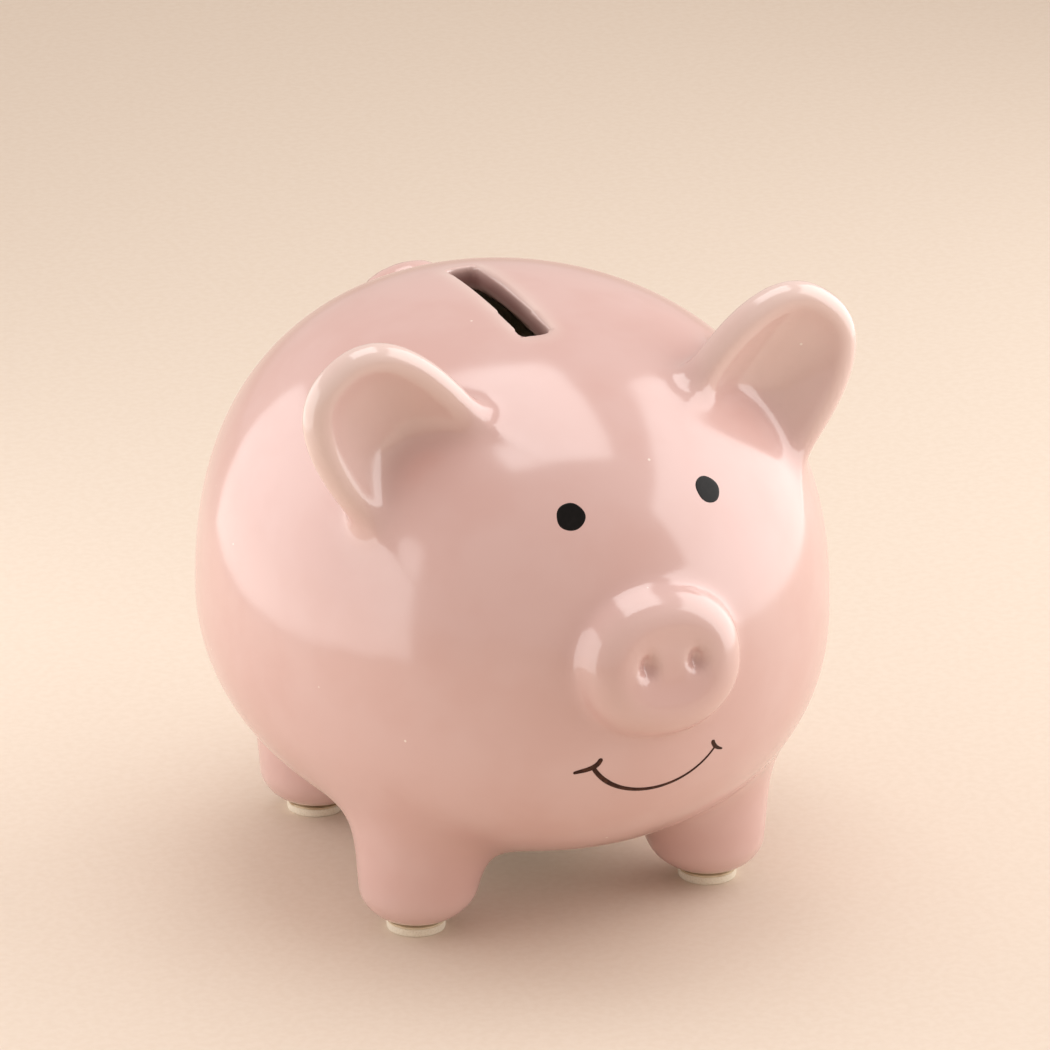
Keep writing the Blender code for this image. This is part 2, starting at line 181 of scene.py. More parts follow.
@dataclass(frozen=True)
class LegForm:
    """One pair of legs: stubs with a round foot edge that widen towards the body, most on the inner side."""

    side: float
    forward: float
    radius: float = 9.2
    flare: float = 0.16
    lean: float = 0.09
    bottom: float = 1.78
    top: float = 34.0
    edge_across: float = 6.9
    edge_up: float = 5.8

    def distance(self, points: Points) -> np.ndarray:
        """Signed distance to both legs of the pair.

        Overshoot past the foot's edge is measured in that edge's own half sizes, so the edge is a quarter
        of an ellipse.
        """
        z = points[:, 2]
        risen = np.clip(z - self.bottom, 0, self.top)
        around = np.hypot(np.abs(points[:, 0]) - self.side + self.lean * risen, points[:, 1] - self.forward)
        widening = self.flare * risen
        over = (around - self.radius - widening + self.edge_across) / self.edge_across
        under = (self.bottom + self.edge_up - z) / self.edge_up
        corner = np.hypot(np.maximum(over, 0), np.maximum(under, 0)) + np.minimum(np.maximum(over, under), 0)
        return np.maximum((corner - 1) * self.edge_up, z - self.top)


@dataclass(frozen=True)
class EarForm:
    """A pair of ears: dishes that stand crosswise and open forwards, with a thick back and a fat round rim."""

    middle: tuple[float, float, float] = (29.4, -25.2, 85.9)
    lean: float = np.radians(38.0)
    half_width: float = 11.2
    half_height: float = 22.0
    power: float = 2.45
    rim_radius: float = 2.8
    cup_depth: float = 5.6
    back_depth: float = 16.6
    back_fillet: float = 4.0

    def place(self, points: Points) -> tuple[np.ndarray, np.ndarray, np.ndarray]:
        """Coordinates across the ear, up along it and back from the rim's plane."""
        x = np.abs(points[:, 0]) - self.middle[0]
        z = points[:, 2] - self.middle[2]
        upright, outward = np.cos(self.lean), np.sin(self.lean)
        return x * upright - z * outward, x * outward + z * upright, points[:, 1] - self.middle[1]

    def distance(self, points: Points) -> np.ndarray:
        """Signed distance to the ears.

        The sheet sinks behind the rim's plane by its depth times one minus the square of the gauge. The dish
        is all that lies within the rim's radius of it, its nearest place being found by Newton steps, and
        the mass of the back lies between the sheet and a deeper one.
        """
        across, along, behind = self.place(points)
        gauge, slopes = superellipse(across / self.half_width, along / self.half_height, self.power)
        slope = np.hypot(slopes[0] / self.half_width, slopes[1] / self.half_height)
        out, edge = gauge / slope, 1 / slope
        tries = np.linspace(0, 1, 9)[:, None]
        missed = (out - tries * edge) ** 2 + (behind - self.cup_depth * (1 - tries**2)) ** 2
        share = tries[np.argmin(missed, axis=0), 0]
        for _ in range(5):
            gap_out, gap_back = out - share * edge, behind - self.cup_depth * (1 - share**2)
            fall = -2 * self.cup_depth * share
            steep = edge**2 + fall**2 + 2 * self.cup_depth * gap_back
            step = (gap_out * edge + gap_back * fall) / np.maximum(steep, 0.3 * edge**2)
            share = np.clip(share + step, 0, 1)
        dish = np.hypot(out - share * edge, behind - self.cup_depth * (1 - share**2)) - self.rim_radius
        level = np.minimum(gauge, 1.3)
        past_sheet = behind - self.cup_depth * (1 - level**2)
        past_back = behind - self.back_depth * (1 - level**2)
        past_back /= np.hypot(1, 2 * self.back_depth * level * slope)
        before_sheet = -past_sheet / np.hypot(1, 2 * self.cup_depth * level * slope)
        mass = smooth_overlap(smooth_overlap(past_back, before_sheet, 2.0), (gauge - 1) / slope, 3.0)
        return smooth_union(dish, mass, self.back_fillet)

    def cup(self, points: Points) -> np.ndarray:
        """How far inside the ears' cups each point lies, from 0 to 1."""
        across, along, behind = self.place(points)
        gauge = superellipse(across / self.half_width, along / self.half_height, self.power)[0]
        return smooth_step(1.1, 0.75, gauge) * smooth_step(self.cup_depth, self.cup_depth - 4.0, behind)


@dataclass(frozen=True)
class SnoutForm:
    """The snout: an oval disc with a soft rim, a slightly sunk face that looks up a little, and two dents."""

    middle: tuple[float, float, float] = (0.35, -61.1, 58.9)
    half_width: float = 14.05
    half_height: float = 12.3
    power: float = 2.15
    rounding: float = 6.2
    tilt: float = np.radians(8.0)
    sunk: float = 0.75
    thickness: float = 18.0
    nostril_spread: float = 4.3
    nostril_middle: tuple[float, float] = (0.25, 0.5)
    nostril_sizes: tuple[float, float, float] = (1.3, 1.75, 1.7)

    def place(self, points: Points) -> tuple[np.ndarray, np.ndarray, np.ndarray]:
        """Coordinates across the face, up along it and out of it."""
        x, y, z = (points[:, i] - self.middle[i] for i in range(3))
        level, up = np.cos(self.tilt), np.sin(self.tilt)
        return x, z * level + y * up, z * up - y * level

    def distance(self, points: Points) -> np.ndarray:
        """Signed distance to the snout's disc: its outline and its face, met in a round edge."""
        across, along, out = self.place(points)
        gauge, slopes = superellipse(across / self.half_width, along / self.half_height, self.power)
        outline = (gauge - 1) / np.hypot(slopes[0] / self.half_width, slopes[1] / self.half_height)
        dish = self.sunk * (1 - smooth_step(0.15, 0.8, gauge))
        return np.maximum(rounded_corner(outline, out + dish, self.rounding), -out - self.thickness)

    def dents(self, points: Points) -> np.ndarray:
        """Signed distance to the two nostril dents, which are ellipsoids on the face."""
        across, along, out = self.place(points)
        a, b, c = self.nostril_sizes
        across = np.abs(across - self.nostril_middle[0]) - self.nostril_spread
        along = along - self.nostril_middle[1]
        out = out + self.sunk - 0.3
        reach = np.sqrt((across / a) ** 2 + (along / b) ** 2 + (out / c) ** 2)
        return (reach - 1) * a


@dataclass(frozen=True)
class TailForm:
    """The tail: a round cord in a flat curl on the rump, thinner and higher towards its tip."""

    seat: tuple[float, float, float] = (1.8, 52.2, 85.4)
    out: tuple[float, float, float] = (0.0, 0.714, 0.700)
    curl: tuple[float, float] = (7.0, 3.0)
    turns: float = 0.93
    radius: tuple[float, float] = (2.6, 1.6)
    lift: tuple[float, float] = (1.2, 2.4)
    steps: int = 60
    reach: float = 22.0

    def path(self) -> tuple[Points, np.ndarray]:
        """Points along the curl and the cord's radius at each: a spiral whose sizes change evenly."""
        share = np.linspace(0, 1, self.steps + 1)
        angle = -np.pi / 2 - 2 * np.pi * self.turns * share
        out = np.array(self.out) / np.linalg.norm(self.out)
        across = np.array([1.0, 0.0, 0.0])
        upward = np.cross(out, across)
        upward *= np.sign(upward[2])
        radial = np.cos(angle)[:, None] * across + np.sin(angle)[:, None] * upward
        curl, lift, radius = (
            ends[0] + (ends[1] - ends[0]) * share for ends in (self.curl, self.lift, self.radius)
        )
        return np.array(self.seat) + curl[:, None] * radial + lift[:, None] * out, radius

    def distance(self, points: Points) -> np.ndarray:
        """Signed distance to the tail: the least one to the path's straight pieces, less the radius."""
        path, radius = self.path()
        near = np.linalg.norm(points - np.array(self.seat), axis=1) < self.reach
        best = np.full(len(points), FAR)
        close, found = points[near], np.full(int(near.sum()), FAR)
        for i in range(self.steps):
            run = path[i + 1] - path[i]
            way = np.clip((close - path[i]) @ run / (run @ run), 0, 1)
            gap = np.linalg.norm(close - path[i] - way[:, None] * run, axis=1)
            found = np.minimum(found, gap - radius[i] - way * (radius[i + 1] - radius[i]))
        best[near] = found
        return best


@dataclass(frozen=True)
class CoinWays:
    """The slot that coins go in by and the hole in the belly that they come out of."""

    slot_half_width: float = 2.6
    slot_half_length: float = 16.2
    slot_side: float = -2.1
    slot_middle: float = 5.0
    slot_corner: float = 1.5
    slot_edge: float = 1.1
    slot_bottom: float = 75.0
    hole_middle: float = 7.9
    hole_radius: float = 15.0
    hole_top: float = 25.0
    seat_radius: float = 18.6
    seat_height: float = 11.8
    hole_edge: float = 0.9

    def slot(self, points: Points) -> np.ndarray:
        """Signed distance to the slot: an upright bar whose plan is a rectangle with round corners."""
        over_x = np.abs(points[:, 0] - self.slot_side) - self.slot_half_width
        over_y = np.abs(points[:, 1] - self.slot_middle) - self.slot_half_length
        return np.maximum(rounded_corner(over_x, over_y, self.slot_corner), self.slot_bottom - points[:, 2])

    def hole(self, points: Points) -> np.ndarray:
        """Signed distance to the hole and the flat seat round it: two upright round bars."""
        around = np.hypot(points[:, 0], points[:, 1] - self.hole_middle)
        z = points[:, 2]
        bore = np.maximum(around - self.hole_radius, z - self.hole_top)
        seat = np.maximum(around - self.seat_radius, z - self.seat_height)
        return np.minimum(bore, seat)


@dataclass(frozen=True)
class PigForm:
    """The whole casting: its forms, how softly each flows into the body, and the drained hollow."""

    body: BodyForm = field(default_factory=BodyForm)
    legs: tuple[LegForm, LegForm] = (LegForm(26.9, -17.4), LegForm(23.4, 35.9))
    ears: EarForm = field(default_factory=EarForm)
    snout: SnoutForm = field(default_factory=SnoutForm)
    tail: TailForm = field(default_factory=TailForm)
    ways: CoinWays = field(default_factory=CoinWays)
    wall: float = 4.5
    leg_fillet: float = 8.0
    ear_fillet: float = 6.0
    snout_fillet: float = 4.0
    tail_fillet: float = 7.5
    nostril_edge: float = 2.2
    in_front: float = -72.0

    def trunk(self, points: Points) -> np.ndarray:
        """Signed distance to the body with its legs, which the hollow follows."""
        trunk = self.body.distance(points)
        for pair in self.legs:
            trunk = smooth_union(trunk, pair.distance(points), self.leg_fillet)
        return trunk

    def outside(self, points: Points, trunk: np.ndarray | None = None) -> np.ndarray:
        """Signed distance to the outer form, without slot, hole or hollow."""
        form = self.trunk(points) if trunk is None else trunk
        form = smooth_union(form, self.ears.distance(points), self.ear_fillet)
        form = smooth_union(form, self.snout.distance(points), self.snout_fillet)
        form = smooth_overlap(form, -self.snout.dents(points), self.nostril_edge)
        return smooth_union(form, self.tail.distance(points), self.tail_fillet)

    def distance(self, points: Points) -> np.ndarray:
        """Signed distance to the fired clay: the outer form less the hollow, the slot and the hole."""
        trunk = self.trunk(points)
        clay = np.maximum(self.outside(points, trunk), -trunk - self.wall)
        clay = smooth_overlap(clay, -self.ways.slot(points), self.ways.slot_edge)
        return smooth_overlap(clay, -self.ways.hole(points), self.ways.hole_edge)

    def front_point(self, side: np.ndarray, up: np.ndarray, grow: np.ndarray | float) -> Points:
        """Points of the pig's front at places of its front view, moved out by grow.

        Each point walks back along +Y from in front of the pig, by nine tenths of its distance at a time.

        Args:
            side: Places across, as X.
            up: Places up, as Z.
            grow: How far each point is moved out along the surface's normal.

        Returns:
            The points.
        """
        points = np.stack([side, np.full_like(side, self.in_front), up], axis=-1)
        for _ in range(60):
            points[:, 1] += 0.9 * self.outside(points)
        return points + np.reshape(grow, (-1, 1)) * gradient(self.outside, points)


def gradient(distance: Distance, points: Points, step: float = 0.02) -> Points:
    """Unit gradient of a signed distance, from its values at the corners of a small tetrahedron.

    Args:
        distance: The signed distance.
        points: Where the gradient is wanted.
        step: Half the edge of the cube that holds the tetrahedron.

    Returns:
        Unit vectors that point outwards.
    """
    corners = np.array([(1, -1, -1), (-1, -1, 1), (-1, 1, -1), (1, 1, 1)], float)
    slope = sum(distance(points + step * corner)[:, None] * corner for corner in corners)
    return slope / np.maximum(np.linalg.norm(slope, axis=1, keepdims=True), 1e-12)


def bend(distance: Distance, points: Points, reach: float) -> np.ndarray:
    """How much a surface bulges: the spread of its normals per millimetre, negative in a hollow.

    Args:
        distance: The signed distance.
        points: Points of the surface.
        reach: Half the way over which the spread is taken.

    Returns:
        The sum of the two main curvatures at each point.
    """
    axes = np.eye(3)
    return sum(
        gradient(distance, points + reach * axis)[:, i] - gradient(distance, points - reach * axis)[:, i]
        for i, axis in enumerate(axes)
    ) / (2 * reach)


# ---------------------------------------------------------------- a skin over a form


def graded(
    low: float, high: float, coarse: float, fine: float, spans: list[tuple[float, float]]
) -> np.ndarray:
    """Grid places from low to high, close together inside the spans and further apart elsewhere.

    The density of places is one over the wanted step, and its running sum is read off at whole numbers.

    Args:
        low: First place.
        high: Last place.
        coarse: Step outside the spans.
        fine: Step inside them.
        spans: Pairs of a span's ends.

    Returns:
        The places.
    """
    fly = np.arange(low, high + 0.05, 0.05)
    inside = np.zeros_like(fly)
    for start, end in spans:
        rise = smooth_step(start - 3, start, fly) * (1 - smooth_step(end, end + 3, fly))
        inside = np.maximum(inside, rise)
    run = np.concatenate([[0], np.cumsum(0.05 / (coarse + (fine - coarse) * inside))[:-1]])
    return np.interp(np.linspace(0, run[-1], int(run[-1]) + 1), run, fly)


@dataclass
class LevelSkin:
    """Meshes the zero level of a signed distance with one point for each grid cell that it crosses."""

    axes: tuple[np.ndarray, np.ndarray, np.ndarray]
    relaxing: int = 3

    def field(self, distance: Distance) -> np.ndarray:
        """The distance at every grid node."""
        grid = np.stack(np.meshgrid(*self.axes, indexing="ij"), axis=-1)
        return distance(grid.reshape(-1, 3)).reshape(grid.shape[:3])

    def raw(self, values: np.ndarray) -> tuple[Points, np.ndarray]:
        """First mesh: a point in each crossed cell and a quad round each crossed grid edge.

        A cell's point is the mean of the places where its edges cross zero. A quad's turn follows the sign
        of the edge, so that every face looks outwards.

        Args:
            values: The distance at every grid node.

        Returns:
            The points and the quads.
        """
        cells = tuple(n - 1 for n in values.shape)
        nodes = np.stack(np.meshgrid(*self.axes, indexing="ij"), axis=-1)
        total, count = np.zeros((*cells, 3)), np.zeros(cells)
        crossings, quads = [], []
        for axis in range(3):
            first, second = (axis + 1) % 3, (axis + 2) % 3
            low, high = (np.delete(values, end, axis) for end in (-1, 0))
            crossed = (low < 0) != (high < 0)
            way = np.where(crossed, low, 0.0) / np.where(crossed, low - high, 1.0)
            step = np.diff(self.axes[axis]).reshape([-1 if k == axis else 1 for k in range(3)])
            place = np.delete(nodes, -1, axis)
            place[..., axis] += way * step
            for a, b in ((0, 0), (0, 1), (1, 0), (1, 1)):
                cut = [slice(None)] * 3
                cut[first], cut[second] = slice(a, a + cells[first]), slice(b, b + cells[second])
                here = crossed[tuple(cut)]
                count += here
                total += here[..., None] * place[tuple(cut)]
            crossings.append((first, second, crossed, low < 0))
        active = count > 0
        number = np.full(cells, -1)
        number[active] = np.arange(int(active.sum()))
        for first, second, crossed, inside in crossings:
            inner = [slice(None)] * 3
            inner[first] = inner[second] = slice(1, -1)
            edge = np.argwhere(crossed[tuple(inner)])
            outward = inside[tuple(inner)][tuple(edge.T)]
            corners = []
            for a, b in ((0, 0), (1, 0), (1, 1), (0, 1)):
                cell = edge.copy()
                cell[:, first] += a
                cell[:, second] += b
                corners.append(number[tuple(cell.T)])
            quad = np.stack(corners, axis=1)
            quad[~outward] = quad[~outward, ::-1]
            quads.append(quad)
        return total[active] / count[active][:, None], np.concatenate(quads)

    def mesh(self, distance: Distance) -> tuple[Points, np.ndarray]:
        """Meshes the zero level, evens the points out over it and puts them exactly on it.

        Args:
            distance: The signed distance.

        Returns:
            The points and the quads.
        """
        points, quads = self.raw(self.field(distance))
        ends = np.concatenate([quads[:, [k, (k + 1) % 4]] for k in range(4)])
        near = np.bincount(ends[:, 0], minlength=len(points))
        for turn in range(self.relaxing + 1):
            if turn:
                pull = np.stack(
                    [np.bincount(ends[:, 0], points[ends[:, 1], k], len(points)) for k in range(3)], axis=1
                )
                points = points + 0.6 * (pull / near[:, None] - points)
            for _ in range(3):
                depth = distance(points)
                points = points - np.clip(depth, -0.6, 0.6)[:, None] * gradient(distance, points)
        return points, quads


# ---------------------------------------------------------------- meshes and nodes


def make_piece(
    name: str, points: Points, faces: np.ndarray, material: bpy.types.Material
) -> bpy.types.Object:
    """Puts points in millimetres and faces into a smooth mesh object at the origin, in metres.

    Args:
        name: The piece's name.
        points: Its points.
        faces: Its faces, as rows of point numbers.
        material: Its finish.

    Returns:
        The new object.
    """
    mesh = bpy.data.meshes.new(name)
    mesh.from_pydata((points * MM).tolist(), [], faces.tolist())
    mesh.materials.append(material)
    mesh.shade_smooth()
    mesh.validate()
    piece = bpy.data.objects.new(name, mesh)
    bpy.context.scene.collection.objects.link(piece)
    return piece


def hand_over(piece: bpy.types.Object, rides: Rides, slot: str, *nodes: str) -> bpy.types.Object:
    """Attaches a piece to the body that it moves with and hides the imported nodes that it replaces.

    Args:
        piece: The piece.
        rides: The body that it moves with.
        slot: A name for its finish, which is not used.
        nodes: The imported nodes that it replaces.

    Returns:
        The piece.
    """
    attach(piece, rides.value)
    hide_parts(*nodes)
    return piece


def evened(values: np.ndarray, faces: np.ndarray, rounds: int = 4) -> np.ndarray:
    """Evens out values over a mesh: each face takes its corners' mean, then each corner its faces' mean.

    Args:
        values: A value for each vertex.
        faces: Vertex numbers of each face.
        rounds: How many times it is done.

    Returns:
        The evened values.
    """
    corners = faces.ravel()
    share = np.bincount(corners, minlength=len(values))
    for _ in range(rounds):
        means = np.repeat(values[faces].mean(axis=1), faces.shape[1])
        values = np.bincount(corners, means, len(values)) / share
    return values


def closed_rows(rows: int, around: int) -> np.ndarray:
    """Triangles of a closed surface made of a pole, rows of points and another pole.

    Point 0 is the first pole, then come the rows, and the last point is the last pole. A face looks outwards
    where the rows run upwards and each row runs anticlockwise seen from above.

    Args:
        rows: Number of rows between the poles.
        around: Points in a row.

    Returns:
        The triangles.
    """
    here = np.arange(around)
    following = (here + 1) % around
    row = 1 + around * np.arange(rows - 1)[:, None]
    a, b = row + here, row + following
    c, d = b + around, a + around
    sides = np.stack([np.stack([a, b, c], -1), np.stack([a, c, d], -1)]).reshape(-1, 3)
    last = 1 + around * (rows - 1)
    low = np.stack([np.zeros(around, int), 1 + following, 1 + here], axis=1)
    high = np.stack([np.full(around, 1 + rows * around), last + here, last + following], axis=1)
    return np.concatenate([sides, low, high])


def turned(profile: np.ndarray, centre: tuple[float, float], around: int) -> tuple[Points, np.ndarray]:
    """Turns a profile about an upright axis: each row is a circle of the profile's radius at its height.

    Args:
        profile: Pairs of radius and height from the lower pole to the upper one, both poles on the axis.
        centre: The axis's place.
        around: Points in a circle.

    Returns:
        The points and the triangles.
    """
    angle = 2 * np.pi * np.arange(around) / around
    radius, height = profile[1:-1, 0, None], profile[1:-1, 1, None]
    rows = np.stack(
        [
            centre[0] + radius * np.cos(angle),
            centre[1] + radius * np.sin(angle),
            height + 0 * angle,
        ],
        axis=-1,
    ).reshape(-1, 3)
    poles = [np.array([[*centre, profile[end, 1]]]) for end in (0, -1)]
    return np.concatenate([poles[0], rows, poles[1]]), closed_rows(len(profile) - 2, around)


def softened(corners: list[tuple[float, float, float]], steps: int = 6) -> np.ndarray:
    """Rounds the corners of a profile: each becomes a curve through it of the second order.

    Args:
        corners: Triples of radius, height and the length that the rounding takes from each side.
        steps: Pieces in a rounding.

    Returns:
        Pairs of radius and height, the first and the last corner left as they are.
    """
    spots = np.array([corner[:2] for corner in corners])
    made = [spots[:1]]
    for i in range(1, len(corners) - 1):
        before = spots[i - 1] - spots[i]
        after = spots[i + 1] - spots[i]
        cut = corners[i][2]
        start = spots[i] + before / np.linalg.norm(before) * cut
        end = spots[i] + after / np.linalg.norm(after) * cut
        share = np.linspace(0, 1, steps + 1)[:, None]
        made.append((1 - share) ** 2 * start + 2 * share * (1 - share) * spots[i] + share**2 * end)
    made.append(spots[-1:])
    return np.concatenate(made)


def linear(colour: str) -> tuple[float, float, float, float]:
    """Turns an sRGB colour in hex, such as "F4D7D3", into linear light with full alpha."""
    parts = [int(colour[i : i + 2], 16) / 255 for i in (0, 2, 4)]
    light = [part / 12.92 if part <= 0.04045 else ((part + 0.055) / 1.055) ** 2.4 for part in parts]
    return (*light, 1.0)


def fill_inputs(tree: bpy.types.NodeTree, node: bpy.types.Node, inputs: dict) -> None:
    """Gives a node's inputs what they take.

    Args:
        tree: The material's node tree.
        node: The node.
        inputs: For each input, by name or number, an output to link from, a colour in hex or a plain value.
    """
    for name, value in inputs.items():
        if isinstance(value, bpy.types.NodeSocket):
            tree.links.new(value, node.inputs[name])
        else:
            node.inputs[name].default_value = linear(value) if isinstance(value, str) else value


def add_node(
    tree: bpy.types.NodeTree, kind: str, inputs: dict | None = None, output: str | int = 0, **settings: str
) -> bpy.types.NodeSocket:
    """Adds a node.

    Args:
        tree: The material's node tree.
        kind: The node's type, less the "ShaderNode" that all of them begin with.
        inputs: What its inputs take, as in fill_inputs.
        output: Name or number of the output that is wanted.
        settings: Properties of the node.

    Returns:
        The output.
    """
    node = tree.nodes.new(f"ShaderNode{kind}")
    for name, value in settings.items():
        setattr(node, name, value)
    fill_inputs(tree, node, inputs or {})
    return node.outputs[output]


def new_material(
    name: str,
) -> tuple[bpy.types.Material, bpy.types.NodeTree, bpy.types.Node, bpy.types.NodeSocket]:
    """Makes a node material with a Principled shader on its output.

    Args:
        name: The material's name.

    Returns:
        The material, its tree, its shader and its object coordinates.
    """
    material = bpy.data.materials.new(name)
    material.use_nodes = True
    tree = material.node_tree
    tree.nodes.clear()
    surface = add_node(tree, "BsdfPrincipled")
    fill_inputs(tree, tree.nodes.new("ShaderNodeOutputMaterial"), {"Surface": surface})
    return material, tree, surface.node, add_node(tree, "TexCoord", output="Object")


def mottled(
    tree: bpy.types.NodeTree, spot: bpy.types.NodeSocket, across: float, detail: float,
    span: tuple[float, float], colours: tuple[str, str],
) -> tuple[bpy.types.NodeSocket, bpy.types.NodeSocket]:
    """Two colours in blotches with soft edges.

    Args:
        tree: The material's node tree.
        spot: Where the blotches are read.
        across: A blotch's size in millimetres.
        detail: How many finer layers the blotches have.
        span: The noise's values where the upper colour begins and where it is full.
        colours: The lower and the upper colour in hex.

    Returns:
        How much of the upper colour shows, and the colour.
    """
    blotch = add_node(tree, "TexNoise", {"Vector": spot, "Scale": 1 / (across * MM), "Detail": detail})
    share = add_node(tree, "MapRange", {"Value": blotch, "From Min": span[0], "From Max": span[1]}, **EASED)
    return share, add_node(tree, "Mix", {0: share, 6: colours[0], 7: colours[1]}, 2, **RGBA)


# ---------------------------------------------------------------- finishes


@dataclass(frozen=True)
class PinkGlaze:
    """Glossy pink glaze over white slip-cast earthenware, dipped and fired.

    The eye sees a smooth glassy coat with soft blotches of pink, pale rims where the coat drew thin over
    edges, deeper pink where it pools in creases, a few pin specks, and dull cream clay where it was wiped.
    The slot's inside is darkened with the deeper pink as painted shade, and the ears' cups are paled with
    the rim colour as painted light.
    """

    name: str = "pink_glazed_earthenware"
    pink: str = "DBB8B3"
    blotch: str = "D8B2AC"
    # Pale colour of thin glaze over edges; in the ears' cups it is painted light.
    thin: str = "F1E0D8"
    # Deeper pink of glaze that gathers in creases; inside the slot it is painted shade.
    pool_and_shade_colour: str = "965F5E"
    clay: str = "E9DECB"
    speck: str = "F8EDE4"

    def material(self) -> bpy.types.Material:
        """Builds the finish from object coordinates and the skin's glaze attributes.

        Returns:
            The finish.
        """
        material, tree, shader, spot = new_material(self.name)
        # rim holds the thin glaze over edges and also painted light in the ears' cups.
        rim, pool_and_slot_shade, bare = (
            add_node(tree, "Attribute", output="Fac", attribute_name=name)
            for name in ("glaze_thin_and_cup_light", "glaze_pool_and_slot_shade", "bare_clay")
        )
        # Blotches about 16 mm across are where the dipped coat is a little thicker.
        _, colour = mottled(tree, spot, 16.0, 3.0, (0.35, 0.65), (self.pink, self.blotch))
        # Pin specks are 0.3 mm bubbles that opened in the glaze, one every 9 mm or so.
        cell = {"Vector": spot, "Scale": 1 / (9.0 * MM), "Randomness": 1.0}
        gap = add_node(tree, "TexVoronoi", cell, feature="F1")
        near = {"Value": gap, "From Min": 0.018, "From Max": 0.034, "To Min": 0.75, "To Max": 0.0}
        speck = add_node(tree, "MapRange", near, **EASED)
        # The deep pink also paints shade inside the slot.
        for share, upper in ((pool_and_slot_shade, self.pool_and_shade_colour), (rim, self.thin), (speck, self.speck), (bare, self.clay)):
            colour = add_node(tree, "Mix", {0: share, 6: colour, 7: upper}, 2, **RGBA)
        # Glazed clay is glassy; wiped clay is chalky.
        dull = {"Value": bare, "From Min": 0.2, "From Max": 0.8, "To Min": 0.15, "To Max": 0.78}
        # The coat waves a few hundredths of a millimetre over 12 mm, and bare clay has a 0.4 mm grain.
        wave = add_node(tree, "TexNoise", {"Vector": spot, "Scale": 1 / (12.0 * MM), "Detail": 1.0})
        flow = add_node(tree, "Bump", {"Height": wave, "Strength": 0.22, "Distance": 0.00035})
        grain = add_node(tree, "TexNoise", {"Vector": spot, "Scale": 1 / (0.4 * MM), "Detail": 2.0})
        grain = add_node(tree, "Math", {0: grain, 1: bare}, operation="MULTIPLY")
        rough = {"Height": grain, "Strength": 0.4, "Distance": 0.0002, "Normal": flow}
        values = {
            "Base Color": colour,
            "Roughness": add_node(tree, "MapRange", dull, **EASED),
            "Normal": add_node(tree, "Bump", rough),
            "IOR": 1.60,
            "Specular IOR Level": 0.85,
        }
        fill_inputs(tree, shader, values)
        return material


@dataclass(frozen=True)
class FiredColour:
    """Ceramic colour painted on and fired under a thin glaze: dense, glossy, a little thinner in places."""

    name: str
    dense: str
    thin: str
    roughness: float = 0.09

    def material(self) -> bpy.types.Material:
        """Builds the finish: brush colour that thins in streaks 1.2 mm long.

        Returns:
            The finish.
        """
        material, tree, shader, spot = new_material(self.name)
        _, colour = mottled(tree, spot, 1.2, 2.0, (0.45, 0.75), (self.dense, self.thin))
        wave = add_node(tree, "TexNoise", {"Vector": spot, "Scale": 1 / (0.9 * MM), "Detail": 1.0})
        flow = add_node(tree, "Bump", {"Height": wave, "Strength": 0.12, "Distance": 0.0001})
        values = {"Base Color": colour, "Normal": flow, "Roughness": self.roughness, "IOR": 1.52}
        fill_inputs(tree, shader, {**values, "Specular IOR Level": 0.2})
        return material


@dataclass(frozen=True)
class CreamFoam:
    """Closed-cell foam, die-cut: matt cream with cells about 0.35 mm across."""

    name: str = "die_cut_cream_foam"
    face: str = "EDE5D3"
    cell: str = "E2D8C3"

    def material(self) -> bpy.types.Material:
        """Builds the finish from round cells that darken and dent the surface.

        Returns:
            The finish.
        """
        material, tree, shader, spot = new_material(self.name)
        cell = {"Vector": spot, "Scale": 1 / (0.35 * MM), "Randomness": 1.0}
        gap = add_node(tree, "TexVoronoi", cell, feature="F1")
        near = {"Value": gap, "From Min": 0.1, "From Max": 0.5, "To Min": 1.0, "To Max": 0.0}
        pit = add_node(tree, "MapRange", near, **EASED)
        values = {
            "Base Color": add_node(tree, "Mix", {0: pit, 6: self.face, 7: self.cell}, 2, **RGBA),
            "Normal": add_node(tree, "Bump", {"Height": gap, "Strength": 0.5, "Distance": 0.00012}),
            "Roughness": 0.88,
            "IOR": 1.46,
            "Sheen Weight": 0.15,
        }
        fill_inputs(tree, shader, values)
        return material


@dataclass(frozen=True)
class AdhesiveFilm:
    """Polyester film with adhesive: milky, faintly glossy, browner in blotches."""

    name: str = "adhesive_polyester_film"
    film: str = "DCCDB0"
    brown_blotch: str = "B59A78"

    def material(self) -> bpy.types.Material:
        """Builds the finish: milky film with browner blotches about 4 mm across.

        Returns:
            The finish.
        """
        material, tree, shader, spot = new_material(self.name)
        _, colour = mottled(tree, spot, 4.0, 2.0, (0.4, 0.7), (self.film, self.brown_blotch))
        fill_inputs(tree, shader, {"Base Color": colour, "Roughness": 0.32, "IOR": 1.57})
        return material


@dataclass(frozen=True)
class SoftVinyl:
    """Injection-moulded soft vinyl: milky, satin, with a fine spark-eroded grain of about 0.25 mm."""

    name: str = "moulded_soft_vinyl"
    body: str = "E4DFD3"
    cloudy: str = "D6CFC0"

    def material(self) -> bpy.types.Material:
        """Builds the finish from slow flow clouds and a fine mould grain.

        Returns:
            The finish.
        """
        material, tree, shader, spot = new_material(self.name)
        cloud, colour = mottled(tree, spot, 7.0, 2.0, (0.35, 0.7), (self.body, self.cloudy))
        dull = {"Value": cloud, "To Min": 0.38, "To Max": 0.48}
        grain = add_node(tree, "TexNoise", {"Vector": spot, "Scale": 1 / (0.25 * MM), "Detail": 1.0})
        values = {
            "Base Color": colour,
            "Roughness": add_node(tree, "MapRange", dull, **EASED),
            "Normal": add_node(tree, "Bump", {"Height": grain, "Strength": 0.25, "Distance": 0.00006}),
            "IOR": 1.53,
            "Subsurface Weight": 0.08,
            "Subsurface Scale": 0.002,
        }
        fill_inputs(tree, shader, values)
        return material


# ---------------------------------------------------------------- the pieces


